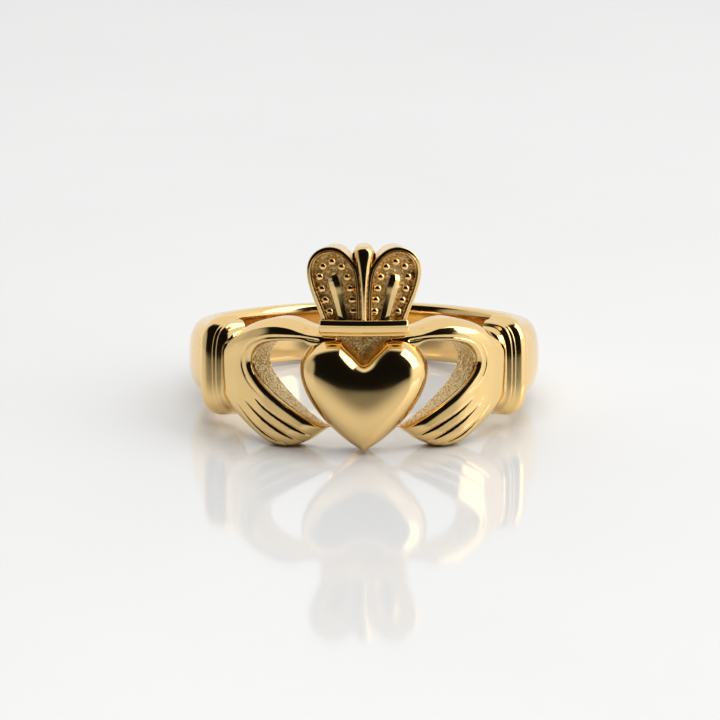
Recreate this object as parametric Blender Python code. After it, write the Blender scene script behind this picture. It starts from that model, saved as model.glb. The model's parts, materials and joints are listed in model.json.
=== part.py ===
# A claddagh ring, cast in one piece: a plain shank, two cuffed hands, and the crowned heart that they hold.
# Lengths are in metres and +Z is up. The ring lies on its side, leaning a little on its fingertips.
#
# The raised work is drawn flat and then wrapped round the finger hole. A point of the flat layout is
# (across, up, out): across runs round the ring from the middle of the heart, up runs along the finger,
# and out is the height above the wall of the finger hole.

import math

import bmesh
import bpy
from mathutils import Matrix, Vector

# Shank
HOLE_DIAMETER = 0.0174
SHANK_SIDE_THICKNESS = 0.00165
SHANK_BACK_THICKNESS = 0.0013
SHANK_SIDE_WIDTH = 0.0041
SHANK_BACK_WIDTH = 0.0035
SHANK_EDGE_HEIGHT = 0.0006

# Cuffs
CUFF_START = 0.0094
CUFF_LENGTH = 0.0019
CUFF_WIDTH = 0.0058
CUFF_THICKNESS = 0.0022

# Hands
HAND_RISE = 0.0032
HAND_DROP = 0.0039
PALM_THICKNESS = 0.0020
THUMB_WIDTH = 0.0010
THUMB_THICKNESS = 0.0018
FINGER_WIDTH = 0.00086
FINGER_THICKNESS = 0.00188
GRIP = 0.0004

# Heart
HEART_WIDTH = 0.0076
HEART_RISE = 0.00215
HEART_DROP = 0.0041
HEART_EDGE = 0.0014
HEART_DOME = 0.0015

# Crown
BAR_GAP = 0.00060
BAR_WIDTH = 0.00484
BAR_HEIGHT = 0.00072
BAR_THICKNESS = 0.0023
RECESS_THICKNESS = 0.0011
CROWN_WIDTH = 0.0065
CROWN_HEIGHT = 0.00408
CROWN_FIELD = 0.0013
CROWN_RIM = 0.00175
RIM_WIDTH = 0.00036
SPIKE_WIDTH = 0.00056
SPIKE_LENGTH = 0.0027
SPIKE_THICKNESS = 0.0018
BUD_WIDTH = 0.00106
BUD_THICKNESS = 0.0021
BEAD_DIAMETER = 0.00040
BEAD_HEIGHT = 0.00026
BEAD_INSET = 0.00062
BEADS_PER_LOBE = 11

# Places that follow from the driving dimensions
HOLE_RADIUS = HOLE_DIAMETER / 2
LAYOUT_RADIUS = HOLE_RADIUS + SHANK_SIDE_THICKNESS
HEART_HALF = HEART_WIDTH / 2
BAR_LOW = HEART_RISE + BAR_GAP
BAR_HIGH = BAR_LOW + BAR_HEIGHT
CROWN_HALF = CROWN_WIDTH / 2

# How finely round forms are divided, and how far raised work starts inside the finger hole before it is bored
FOOT = -0.0003
HOLE_SIDES = 96
SHANK_STATIONS = 52
LOBE_STEPS = 8
BEAD_SIDES = 10
BAR_STATIONS = 7
SHORTEST_EDGE = 0.000005
SIDES = (("left", -1), ("right", 1))

# The shank narrows between these angles from the heart, in degrees
SHANK_TAPER = (75, 140)

# How square a domed section is: 1 is an ellipse, and less is fuller at its shoulders
SHANK_FULLNESS = 0.8
CUFF_FULLNESS = 0.56
PALM_FULLNESS = 0.68
THUMB_FULLNESS = 0.62
FINGER_FULLNESS = 0.7
BUD_FULLNESS = 0.75
SPIKE_FULLNESS = 1.0

# Cuff from the wrist to the shank: shares of the cuff's length, width and thickness
CUFF_SECTIONS = (
    # along, width, thickness
    (-0.16, 0.76, 0.74),
    (0.02, 0.80, 0.78),
    (0.08, 0.90, 0.89),
    (0.18, 0.92, 0.92),
    (0.28, 0.89, 0.88),
    (0.33, 0.86, 0.82),
    (0.40, 0.92, 0.90),
    (0.52, 0.99, 0.98),
    (0.66, 1.00, 1.00),
    (0.80, 0.97, 0.96),
    (0.92, 0.89, 0.87),
    (1.00, 0.80, 0.72),
)

# Hand from the cuff, over the palm and on beneath the fingers. Reach is a share of the way from the heart's
# flank to the cuff. Rise and drop are shares of the hand's rise and drop, and crest of the palm's thickness.
PALM_SECTIONS = (
    # low reach, drop, high reach, rise, crest
    (1.06, -0.49, 1.06, 0.62, 0.78),
    (0.93, -0.47, 0.93, 0.61, 0.80),
    (0.84, -0.51, 0.82, 0.68, 0.88),
    (0.75, -0.58, 0.71, 0.72, 0.95),
    (0.66, -0.66, 0.62, 0.70, 1.00),
    (0.60, -0.71, 0.56, 0.54, 1.00),
    (0.54, -0.76, 0.52, 0.30, 0.98),
    (0.47, -0.83, 0.47, 0.06, 0.94),
    (0.38, -0.89, 0.38, -0.08, 0.88),
    (0.27, -0.92, 0.26, -0.24, 0.82),
    (0.12, -0.91, 0.10, -0.38, 0.77),
    (-0.03, -0.86, -0.06, -0.54, 0.70),
    (-0.14, -0.79, -0.18, -0.64, 0.62),
)

# Low and high drop of the palm's last section, inside the heart's flank, and its crest
PALM_GRIP = (-0.80, -0.60)
PALM_GRIP_CREST = 0.56

# Thumb from the palm over its hump to the crown: reach and rise of the middle line, then width and crest
THUMB_SECTIONS = (
    # reach, rise, width, crest
    (0.86, 0.20, 0.60, 0.60),
    (0.72, 0.42, 1.05, 0.92),
    (0.58, 0.62, 1.26, 1.04),
    (0.44, 0.75, 1.20, 1.06),
    (0.30, 0.83, 1.06, 1.03),
    (0.16, 0.85, 0.98, 0.98),
    (0.01, 0.82, 0.94, 0.93),
    (-0.14, 0.77, 0.90, 0.88),
    (-0.26, 0.75, 0.78, 0.82),
)

# Fingers: reach and drop of the root and of the bend, place of the tip off the heart's flank in finger
# widths, its drop, and shares of the finger's width and thickness
FINGERS = (
    # name, root reach, root drop, bend reach, bend drop, tip off, tip drop, width, thickness
    ("index", 0.62, -0.02, 0.24, -0.37, 1.50, 0.79, 1.12, 1.00),
    ("middle", 0.62, -0.24, 0.29, -0.55, 3.15, 0.91, 0.88, 0.98),
    ("ring", 0.72, -0.29, 0.42, -0.64, 4.55, 0.965, 0.86, 0.94),
    ("little", 0.78, -0.42, 0.53, -0.74, 5.60, 0.965, 0.84, 0.88),
)

# Length of a finger from root to tip, with its width and crest there
FINGER_SECTIONS = (
    # along, width, crest
    (0.00, 0.60, 0.60),
    (0.16, 0.86, 0.90),
    (0.34, 1.00, 0.99),
    (0.52, 1.00, 1.00),
    (0.70, 1.00, 0.96),
    (0.84, 0.96, 0.88),
    (0.94, 0.78, 0.72),
    (1.00, 0.40, 0.46),
)

# Heart's lobe centre and lower flank: shares of its half width, and of its rise or drop
LOBE_CENTRE = (0.47, 0.20)
FLANK_BELOW_LOBE = (1.00, -0.28)
FLANK_ABOVE_TIP = (0.46, -0.78)
HEART_MIDDLE_DROP = 0.12
HEART_OVAL = (0.72, 0.52)

# Heart from its edge to its middle: inward share, dome share and how far the outline has become an oval
HEART_RINGS = (
    # inward, dome, oval
    (0.00, 0.00, 0.00),
    (0.05, 0.30, 0.05),
    (0.14, 0.55, 0.18),
    (0.28, 0.77, 0.46),
    (0.46, 0.92, 0.82),
    (0.70, 0.99, 1.00),
)

# Bar under the crown: shares of its height from its low edge, and of its thickness
BAR_PROFILE = (
    # up, out
    (0.00, 0.98),
    (0.08, 1.00),
    (0.60, 1.00),
    (0.62, 0.93),
    (0.76, 0.88),
    (1.00, 0.86),
)

# Recess behind the heart's cleft: its half width as a share of the heart's, its low edge as a share of the
# heart's rise, and its top inside the bar
RECESS_HALF = 0.70
RECESS_LOW = 0.30
RECESS_IN_BAR = 0.50

# One lobe of the crown as a chain of curves: shares of the crown's half width and height
LOBE_CURVES = (
    # start, first handle, second handle, end
    ((0.74, 0.00), (0.86, 0.26), (1.00, 0.45), (1.00, 0.66)),
    ((1.00, 0.66), (1.00, 0.88), (0.78, 1.00), (0.58, 1.00)),
    ((0.58, 1.00), (0.38, 1.00), (0.23, 0.88), (0.12, 0.73)),
    ((0.12, 0.73), (0.06, 0.63), (0.03, 0.45), (0.03, 0.00)),
)
LOBE_FOOT_IN_BAR = 0.90

# Crown lobe from its outer wall over the rim to the field: inset in rim widths, share of the rim's height
# above the field
RIM_STEPS = (
    # inset, height
    (0.00, 0.45),
    (0.28, 1.00),
    (0.72, 1.00),
    (1.00, 0.00),
)

# Bead from its foot in the field to its top: shares of its radius and height
BEAD_STEPS = (
    # radius, height
    (1.00, -0.20),
    (0.96, 0.35),
    (0.68, 0.82),
    (0.30, 1.00),
)

# Ridged spike in a lobe, from its base to its tip. Base and lean are shares of the crown's half width and
# height, and the foot is a share of the field's height.
SPIKE_BASE = 0.36
SPIKE_LEAN = (0.21, 0.69)
SPIKE_FOOT = 0.80
SPIKE_SECTIONS = (
    # along, width, crest
    (0.00, 0.78, 0.90),
    (0.45, 0.90, 0.96),
    (0.80, 1.00, 1.00),
    (0.92, 0.70, 0.90),
    (1.00, 0.16, 0.76),
)

# Stem and bud between the lobes: shares of the crown's height, the bud's width and its thickness
BUD_SECTIONS = (
    # up, width, crest
    (-0.02, 0.34, 0.78),
    (0.30, 0.34, 0.79),
    (0.50, 0.38, 0.83),
    (0.70, 0.84, 0.92),
    (0.84, 0.96, 0.99),
    (0.92, 1.00, 1.00),
    (0.99, 0.80, 0.95),
    (1.03, 0.40, 0.82),
)


def wrapped(across, up, out):
    """Place a point of the flat layout round the finger hole."""
    angle = across / LAYOUT_RADIUS
    radius = HOLE_RADIUS + out
    return Vector((radius * math.sin(angle), -radius * math.cos(angle), up))


def mix(start, end, share):
    """Point or number a share of the way from start to end."""
    if isinstance(start, tuple):
        return tuple(mix(a, b, share) for a, b in zip(start, end))
    return start + (end - start) * share


def curve(start, first, second, end, steps):
    """Points of a cubic curve, without its last one."""
    points = []
    for step in range(steps):
        share = step / steps
        lead = mix(mix(start, first, share), mix(first, second, share), share)
        trail = mix(mix(first, second, share), mix(second, end, share), share)
        points.append(mix(lead, trail, share))
    return points


def inset(points, distance):
    """Move the points of a closed outline inwards; the outline runs anticlockwise."""
    moved = []
    for index, point in enumerate(points):
        before = Vector(points[index - 1])
        here = Vector(point)
        after = Vector(points[(index + 1) % len(points)])
        incoming = (here - before).normalized()
        outgoing = (after - here).normalized()
        inward = Vector((-incoming.y - outgoing.y, incoming.x + outgoing.x)).normalized()
        reach = min(1.5, 1 / max(0.1, inward.dot(Vector((-outgoing.y, outgoing.x)))))
        moved.append(tuple(here + inward * distance * reach))
    return moved


def section(low, high, foot, crest, steps, fullness):
    """A domed section between two edge points, closed by a straight foot."""
    ring = []
    for step in range(steps + 1):
        angle = math.pi * step / steps
        side = math.copysign(abs(math.cos(angle)) ** fullness, -math.cos(angle))
        across, up = mix(low, high, 0.5 + 0.5 * side)
        ring.append((across, up, mix(foot, crest, abs(math.sin(angle)) ** fullness)))
    return ring


def mirrored(rings, side):
    """The same rings on the given side of the heart."""
    return [[(across * side, up, out) for across, up, out in ring] for ring in rings]


def gold_material():
    gold = bpy.data.materials.new("gold")
    gold.use_nodes = True
    shader = gold.node_tree.nodes["Principled BSDF"]
    shader.inputs["Base Color"].default_value = (0.83, 0.58, 0.24, 1.0)
    shader.inputs["Metallic"].default_value = 1.0
    shader.inputs["Roughness"].default_value = 0.12
    return gold


def lofted(name, rings):
    """A closed body through rings of points, with a fan over each end."""
    body = bmesh.new()
    loops = [[body.verts.new(wrapped(*point)) for point in ring] for ring in rings]
    count = len(loops[0])
    for first, second in zip(loops, loops[1:]):
        for index in range(count):
            following = (index + 1) % count
            body.faces.new((first[index], first[following], second[following], second[index]))
    for ring, loop in ((rings[0], loops[0]), (rings[-1], loops[-1])):
        hub = body.verts.new(wrapped(*(sum(values) / count for values in zip(*ring))))
        for index in range(count):
            body.faces.new((loop[index], loop[(index + 1) % count], hub))
    bmesh.ops.recalc_face_normals(body, faces=body.faces)
    mesh = bpy.data.meshes.new(name)
    body.to_mesh(mesh)
    body.free()
    mesh.shade_smooth()
    mesh.set_sharp_from_angle(angle=math.radians(35))
    mesh.materials.append(GOLD)
    return bpy.data.objects.new(name, mesh)


def add_feature(name, rings):
    """A piece of the casting, kept as a guide that the ring is joined from."""
    feature = lofted(name, rings)
    feature.hide_render = True
    feature.display_type = "WIRE"
    FEATURES.objects.link(feature)


def make_shank():
    """Plain band from one cuff round the back to the other: domed outside, with narrow flat edges."""
    start = (CUFF_START + CUFF_LENGTH / 3) / LAYOUT_RADIUS
    wide_until, narrow_from = SHANK_TAPER
    rings = []
    for station in range(SHANK_STATIONS + 1):
        angle = mix(start, 2 * math.pi - start, station / SHANK_STATIONS)
        from_heart = math.degrees(min(angle, 2 * math.pi - angle))
        share = min(1, max(0, (from_heart - wide_until) / (narrow_from - wide_until)))
        ease = share * share * (3 - 2 * share)
        half = mix(SHANK_SIDE_WIDTH, SHANK_BACK_WIDTH, ease) / 2
        thickness = mix(SHANK_SIDE_THICKNESS, SHANK_BACK_THICKNESS, ease)
        across = angle * LAYOUT_RADIUS
        edges = [(across, -half, FOOT), (across, half, FOOT)]
        dome = section((across, half), (across, -half), SHANK_EDGE_HEIGHT, thickness, 8, SHANK_FULLNESS)
        rings.append(edges + dome)
    return lofted("ring", rings)


def add_cuff(name, side):
    rings = []
    for along, width, thickness in CUFF_SECTIONS:
        across = CUFF_START + along * CUFF_LENGTH
        half = width * CUFF_WIDTH / 2
        crest = thickness * CUFF_THICKNESS
        rings.append(section((across, -half), (across, half), FOOT, crest, 10, CUFF_FULLNESS))
    add_feature(name, mirrored(rings, side))


def hand_point(reach, height):
    """Point of the hand's own layout, between the heart's flank and the cuff."""
    across = mix(HEART_HALF, CUFF_START, reach)
    return across, height * (HAND_RISE if height > 0 else HAND_DROP)


def add_palm(name, side):
    rings = []
    for low_reach, drop, high_reach, rise, crest in PALM_SECTIONS:
        low = hand_point(low_reach, drop)
        high = hand_point(high_reach, rise)
        rings.append(section(low, high, FOOT, crest * PALM_THICKNESS, 10, PALM_FULLNESS))
    low, high = [(heart_flank(drop * HAND_DROP) - GRIP, drop * HAND_DROP) for drop in PALM_GRIP]
    rings.append(section(low, high, FOOT, PALM_GRIP_CREST * PALM_THICKNESS, 10, PALM_FULLNESS))
    add_feature(name, mirrored(rings, side))


def swept(middles, widths, crests, fullness):
    """Sections square to a middle line."""
    rings = []
    for index, middle in enumerate(middles):
        before = Vector(middles[max(0, index - 1)])
        after = Vector(middles[min(len(middles) - 1, index + 1)])
        heading = (after - before).normalized()
        offset = Vector((-heading.y, heading.x)) * widths[index] / 2
        low = tuple(Vector(middle) + offset)
        high = tuple(Vector(middle) - offset)
        rings.append(section(low, high, FOOT, crests[index], 8, fullness))
    return rings


def add_thumb(name, side):
    middles = [hand_point(reach, rise) for reach, rise, _, _ in THUMB_SECTIONS]
    widths = [width * THUMB_WIDTH for _, _, width, _ in THUMB_SECTIONS]
    crests = [crest * THUMB_THICKNESS for _, _, _, crest in THUMB_SECTIONS]
    add_feature(name, mirrored(swept(middles, widths, crests, THUMB_FULLNESS), side))


def heart_flank(up):
    """How far the heart's lower outline lies from its middle at a height."""
    points = heart_half()
    lower = [point for point in points if point[1] <= 0]
    for first, second in zip(lower, lower[1:]):
        if second[1] <= up <= first[1]:
            return mix(first[0], second[0], (up - first[1]) / (second[1] - first[1]))
    return 0.0


def add_finger(name, row, side):
    root_reach, root_drop, bend_reach, bend_drop, tip_off, tip_drop, width_share, thickness_share = row
    root = hand_point(root_reach, root_drop)
    bend = hand_point(bend_reach, bend_drop)
    tip_up = -tip_drop * HAND_DROP
    tip = (heart_flank(tip_up) - GRIP + tip_off * FINGER_WIDTH, tip_up)
    middles = []
    for along, _, _ in FINGER_SECTIONS:
        middles.append(mix(mix(root, bend, along), mix(bend, tip, along), along))
    widths = [width * width_share * FINGER_WIDTH for _, width, _ in FINGER_SECTIONS]
    crests = [crest * thickness_share * FINGER_THICKNESS for _, _, crest in FINGER_SECTIONS]
    add_feature(name, mirrored(swept(middles, widths, crests, FINGER_FULLNESS), side))


def heart_half():
    """Right half of the heart's outline, from the cleft over the lobe to the tip."""
    centre = (LOBE_CENTRE[0] * HEART_HALF, LOBE_CENTRE[1] * HEART_RISE)
    radius = (HEART_HALF - centre[0], HEART_RISE - centre[1])
    cleft = math.acos(-centre[0] / radius[0])
    points = []
    for step in range(12):
        angle = mix(cleft, 0.0, step / 12)
        points.append((centre[0] + radius[0] * math.cos(angle), centre[1] + radius[1] * math.sin(angle)))
    widest = (HEART_HALF, centre[1])
    below = (FLANK_BELOW_LOBE[0] * HEART_HALF, FLANK_BELOW_LOBE[1] * HEART_DROP)
    above_tip = (FLANK_ABOVE_TIP[0] * HEART_HALF, FLANK_ABOVE_TIP[1] * HEART_DROP)
    tip = (0.0, -HEART_DROP)
    return points + curve(widest, below, above_tip, tip, 10) + [tip]


def add_heart():
    """Domed heart whose cleft fades out towards the middle."""
    right = heart_half()
    outline = right + [(-across, up) for across, up in reversed(right[1:-1])]
    middle = (0.0, -HEART_MIDDLE_DROP * HEART_DROP)
    oval_half, oval_rise = HEART_OVAL[0] * HEART_HALF, HEART_OVAL[1] * HEART_DROP
    rings = [[(across, up, FOOT) for across, up in outline]]
    for inward, dome, oval in HEART_RINGS:
        ring = []
        for index, point in enumerate(outline):
            turn = 2 * math.pi * index / len(outline)
            round_point = (oval_half * math.sin(turn), middle[1] + oval_rise * math.cos(turn))
            across, up = mix(mix(point, round_point, oval), middle, inward)
            ring.append((across, up, HEART_EDGE + dome * HEART_DOME))
        rings.append(ring)
    add_feature("heart", rings)


def add_along(name, half, profile):
    """A straight bar across the front, with its profile given as (up, out) points."""
    rings = []
    for station in range(BAR_STATIONS + 1):
        across = mix(-half, half, station / BAR_STATIONS)
        rings.append([(across, up, out) for up, out in profile])
    add_feature(name, rings)


def add_crown_bar():
    """Bar under the crown, with a cove along its upper front edge."""
    front = [(BAR_LOW + up * BAR_HEIGHT, out * BAR_THICKNESS) for up, out in BAR_PROFILE]
    add_along("crown_bar", BAR_WIDTH / 2, [(BAR_LOW, FOOT)] + front + [(BAR_HIGH, FOOT)])


def add_recess():
    """Sunk field between the heart's lobes and the bar."""
    low = RECESS_LOW * HEART_RISE
    high = BAR_LOW + RECESS_IN_BAR * BAR_HEIGHT
    profile = [(low, FOOT), (low, RECESS_THICKNESS), (high, RECESS_THICKNESS), (high, FOOT)]
    add_along("recess", RECESS_HALF * HEART_HALF, profile)


def lobe_outline():
    """Outline of the right lobe of the crown, anticlockwise from its outer foot."""
    points = []
    for handles in LOBE_CURVES:
        sized = [(across * CROWN_HALF, BAR_HIGH + up * CROWN_HEIGHT) for across, up in handles]
        points += curve(*sized, LOBE_STEPS)
    last = LOBE_CURVES[-1][-1]
    points.append((last[0] * CROWN_HALF, BAR_HIGH))
    foot = BAR_HIGH - LOBE_FOOT_IN_BAR * BAR_HEIGHT
    return points + [(points[-1][0], foot), (points[0][0], foot)]


def add_lobe(name, side):
    """Crown lobe with a raised rim round a sunk field."""
    outline = lobe_outline()
    rings = [[(across, up, FOOT) for across, up in outline]]
    for share, height in RIM_STEPS:
        out = mix(CROWN_FIELD, CROWN_RIM, height)
        rings.append([(across, up, out) for across, up in inset(outline, share * RIM_WIDTH)])
    field = rings[-1]
    middle = tuple(sum(values) / len(field) for values in zip(*field))
    rings.append([mix(point, middle, 0.5) for point in field])
    add_feature(name, mirrored(rings, side))


def add_beads(name, side):
    """Row of beads that follows the rim inside a lobe."""
    path = inset(lobe_outline(), BEAD_INSET)
    path = [Vector(point) for point in path if point[1] > BAR_HIGH + BEAD_DIAMETER]
    lengths = [0.0]
    for first, second in zip(path, path[1:]):
        lengths.append(lengths[-1] + (second - first).length)
    for number in range(BEADS_PER_LOBE):
        target = lengths[-1] * number / (BEADS_PER_LOBE - 1)
        index = max(i for i, length in enumerate(lengths[:-1]) if length <= target)
        share = (target - lengths[index]) / (lengths[index + 1] - lengths[index])
        centre = path[index].lerp(path[index + 1], share)
        rings = []
        for size, height in BEAD_STEPS:
            radius = size * BEAD_DIAMETER / 2
            out = CROWN_FIELD + height * BEAD_HEIGHT
            turns = [2 * math.pi * step / BEAD_SIDES for step in range(BEAD_SIDES)]
            rings.append([(centre.x + radius * math.cos(turn), centre.y + radius * math.sin(turn), out)
                          for turn in turns])
        add_feature(f"{name}_{number + 1}", mirrored(rings, side))


def add_spike(name, side):
    base = Vector((SPIKE_BASE * CROWN_HALF, BAR_HIGH))
    lean = Vector((SPIKE_LEAN[0] * CROWN_HALF, SPIKE_LEAN[1] * CROWN_HEIGHT)).normalized()
    square = Vector((lean.y, -lean.x))
    foot = SPIKE_FOOT * CROWN_FIELD
    rings = []
    for along, width, crest in SPIKE_SECTIONS:
        middle = base + lean * along * SPIKE_LENGTH
        half = square * width * SPIKE_WIDTH / 2
        low, high = tuple(middle - half), tuple(middle + half)
        rings.append(section(low, high, foot, crest * SPIKE_THICKNESS, 4, SPIKE_FULLNESS))
    add_feature(name, mirrored(rings, side))


def add_bud():
    rings = []
    for up, width, crest in BUD_SECTIONS:
        half = width * BUD_WIDTH / 2
        level = BAR_HIGH + up * CROWN_HEIGHT
        rings.append(section((-half, level), (half, level), FOOT, crest * BUD_THICKNESS, 8, BUD_FULLNESS))
    add_feature("crown_bud", rings)


def make_hole_cutter():
    """Round bar that opens the finger hole through everything."""
    depth = 4 * (BAR_HIGH + CROWN_HEIGHT)
    bpy.ops.mesh.primitive_cylinder_add(vertices=HOLE_SIDES, radius=HOLE_RADIUS, depth=depth)
    cutter = bpy.context.object
    cutter.name = "finger_hole_cutter"
    cutter.hide_render = True
    cutter.display_type = "WIRE"
    return cutter


def lean_on_floor(points):
    """Angle about X at which the front and the back of the ring touch the floor together."""
    low, high = -0.4, 0.4
    for _ in range(40):
        angle = (low + high) / 2
        front = min(p.y * math.sin(angle) + p.z * math.cos(angle) for p in points if p.y < 0)
        back = min(p.y * math.sin(angle) + p.z * math.cos(angle) for p in points if p.y >= 0)
        if front > back:
            low = angle
        else:
            high = angle
    return (low + high) / 2


def rest_on_side(ring, guides):
    """Parent the ring and its guides to an empty that leans them and puts the floor under the ring."""
    evaluated = ring.evaluated_get(bpy.context.evaluated_depsgraph_get())
    points = [vertex.co.copy() for vertex in evaluated.data.vertices]
    angle = lean_on_floor(points)
    turned = [Matrix.Rotation(angle, 3, "X") @ point for point in points]
    lows = [min(point[axis] for point in turned) for axis in range(3)]
    highs = [max(point[axis] for point in turned) for axis in range(3)]
    rest = bpy.data.objects.new("rest_pose", None)
    rest.rotation_euler = (angle, 0.0, 0.0)
    rest.location = (-(lows[0] + highs[0]) / 2, -(lows[1] + highs[1]) / 2, -lows[2])
    bpy.context.scene.collection.objects.link(rest)
    for piece in [ring] + guides:
        piece.parent = rest


for old in list(bpy.data.objects):
    bpy.data.objects.remove(old, do_unlink=True)

GOLD = gold_material()
FEATURES = bpy.data.collections.new("raised_work")
bpy.context.scene.collection.children.link(FEATURES)

for label, direction in SIDES:
    add_cuff(f"cuff_{label}", direction)
    add_palm(f"palm_{label}", direction)
    add_thumb(f"thumb_{label}", direction)
    for finger in FINGERS:
        add_finger(f"{finger[0]}_finger_{label}", finger[1:], direction)
    add_lobe(f"crown_lobe_{label}", direction)
    add_beads(f"bead_{label}", direction)
    add_spike(f"spike_{label}", direction)
add_heart()
add_crown_bar()
add_recess()
add_bud()

casting = make_shank()
bpy.context.scene.collection.objects.link(casting)
joined = casting.modifiers.new("raised_work", "BOOLEAN")
joined.operation = "UNION"
joined.solver = "EXACT"
joined.operand_type = "COLLECTION"
joined.collection = FEATURES
casting.modifiers.new("joined_triangles", "TRIANGULATE").ngon_method = "BEAUTY"
bored = casting.modifiers.new("finger_hole", "BOOLEAN")
bored.operation = "DIFFERENCE"
bored.solver = "MANIFOLD"
bored.object = make_hole_cutter()
slivers = casting.modifiers.new("slivers", "WELD")
slivers.merge_threshold = SHORTEST_EDGE
casting.modifiers.new("triangles", "TRIANGULATE").ngon_method = "BEAUTY"
rest_on_side(casting, list(FEATURES.objects) + [bored.object])
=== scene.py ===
import json
import math

import bpy
import bmesh
import numpy as np
from mathutils import Matrix, Vector


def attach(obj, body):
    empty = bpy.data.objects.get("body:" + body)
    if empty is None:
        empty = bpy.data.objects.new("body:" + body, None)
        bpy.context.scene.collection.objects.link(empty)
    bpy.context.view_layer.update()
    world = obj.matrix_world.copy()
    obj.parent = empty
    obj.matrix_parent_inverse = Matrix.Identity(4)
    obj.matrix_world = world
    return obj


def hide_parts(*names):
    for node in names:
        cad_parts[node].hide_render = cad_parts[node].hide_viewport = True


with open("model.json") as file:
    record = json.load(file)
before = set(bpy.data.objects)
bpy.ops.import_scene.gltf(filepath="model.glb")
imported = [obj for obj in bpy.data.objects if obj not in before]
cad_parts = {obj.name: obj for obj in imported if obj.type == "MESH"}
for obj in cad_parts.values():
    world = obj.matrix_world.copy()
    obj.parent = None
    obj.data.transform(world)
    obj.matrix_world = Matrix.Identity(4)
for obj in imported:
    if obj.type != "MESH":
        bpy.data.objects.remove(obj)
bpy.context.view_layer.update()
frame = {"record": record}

print("frame loaded")

# Claddagh ring in yellow gold. The raised work is drawn flat in millimetres and wrapped round the finger
# hole: across runs round the ring from the middle of the heart, up along the finger, out from the hole.
layout = {
    "holeRadius": 8.70,
    "flatRadius": 10.35,        # radius at which across is true to length
    "mountRadius": 9.0,         # the record's band_edge lies this far from the ring's axis
    "bandHalfWidth": 1.75,      # and this far below its middle plane
}
mount = next(m for m in frame["record"]["mounts"] if m["name"] == "band_edge")
ringAxis = -Vector(mount["axis"]).normalized()
backward = ringAxis.cross(Vector((1, 0, 0))).normalized()
ringCentre = (Vector(mount["pos_m"]) - backward * layout["mountRadius"] / 1000
              + ringAxis * layout["bandHalfWidth"] / 1000)


def wrapped(points):                # flat layout in mm to the ring in metres, a row for each point
    points = np.asarray(points, float)
    angle = points[:, 0] / layout["flatRadius"]
    radius = (layout["holeRadius"] + points[:, 2]) / 1000
    side = radius * np.sin(angle)
    back = -radius * np.cos(angle)
    rise = points[:, 1] / 1000
    return (np.array(ringCentre) + side[:, None] * np.array([1.0, 0, 0])
            + back[:, None] * np.array(backward) + rise[:, None] * np.array(ringAxis))


# Node trees: one class writes their maths as expressions, for shaders and for geometry
class Term:
    def __init__(self, tree, socket):
        self.tree = tree
        self.socket = socket

    def math(self, operation, *others):
        node = self.tree.nodes.new("ShaderNodeMath")
        node.operation = operation
        for slot, value in enumerate((self,) + others):
            if isinstance(value, Term):
                self.tree.links.new(value.socket, node.inputs[slot])
            else:
                node.inputs[slot].default_value = value
        return Term(self.tree, node.outputs[0])

    def __add__(self, other):
        return self.math("ADD", other)

    def __sub__(self, other):
        return self.math("SUBTRACT", other)

    def __rsub__(self, other):
        return self.math("MULTIPLY", -1.0).math("ADD", other)

    def __mul__(self, other):
        return self.math("MULTIPLY", other)

    def __truediv__(self, other):
        return self.math("DIVIDE", other)

    def __pow__(self, other):
        return self.math("POWER", other)

    def rising(self, low, high):            # 0 below low, 1 above high, eased between
        share = ((self - low) / (high - low)).math("MAXIMUM", 0.0).math("MINIMUM", 1.0)
        return share * share * (3.0 - 2.0 * share)

    __radd__ = __add__
    __rmul__ = __mul__


class Tree:
    def __init__(self, tree):
        self.tree = tree

    def node(self, kind, settings=None, **sockets):     # any node: its settings first, then its sockets
        made = self.tree.nodes.new(kind)
        for name, value in (settings or {}).items():
            setattr(made, name, value)
        for name, value in sockets.items():
            self.plug(made, name, value)
        return made

    def plug(self, made, name, value):
        name = name.replace("_", " ")
        if name.startswith("at") and name[2:].isdigit():
            socket = made.inputs[int(name[2:])]
        else:
            socket = next(one for one in made.inputs if one.name == name and one.enabled)
        if isinstance(value, Term):
            self.tree.links.new(value.socket, socket)
        elif isinstance(value, bpy.types.NodeSocket):
            self.tree.links.new(value, socket)
        else:
            socket.default_value = value

    def output(self, made, name):                       # the output in use, where several share a name
        return next(one for one in made.outputs if one.name == name and one.enabled)

    def term(self, socket):
        return Term(self.tree, socket)

    def noise(self, place, scale, detail):
        return self.term(self.node("ShaderNodeTexNoise", Vector=place, Scale=scale, Detail=detail).outputs[0])

    def mixed(self, share, first, second):              # between two colours
        made = self.node("ShaderNodeMix", {"data_type": "RGBA"}, Factor=share, A=first, B=second)
        return self.output(made, "Result")


# Mesh making
making = {
    "weld": 1e-7,                   # metres within which points are merged
    "calmFactor": 0.4,              # how far each round of calming moves a point
    "curveSteps": 24,               # short lines between two points of a smooth curve
}


def meshPiece(name, points, faces, cast=None, sharp=None, calm=0):
    mesh = bpy.data.meshes.new(name)
    mesh.from_pydata(points.tolist(), [], faces)
    if cast is not None:                # 1 where the skin of the casting is left rough
        mesh.attributes.new("cast", "FLOAT", "POINT").data.foreach_set("value", np.asarray(cast, np.float32))
    work = bmesh.new()
    work.from_mesh(mesh)
    bmesh.ops.remove_doubles(work, verts=work.verts, dist=making["weld"])
    bmesh.ops.recalc_face_normals(work, faces=work.faces)
    for _ in range(calm):               # takes out the fine ripple that a skin's grid leaves
        bmesh.ops.smooth_vert(work, verts=work.verts, factor=making["calmFactor"],
                              use_axis_x=True, use_axis_y=True, use_axis_z=True)
    work.to_mesh(mesh)
    work.free()
    mesh.shade_smooth()
    if sharp:
        mesh.set_sharp_from_angle(angle=math.radians(sharp))
    piece = bpy.data.objects.new(name, mesh)
    bpy.context.scene.collection.objects.link(piece)
    return piece


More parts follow.
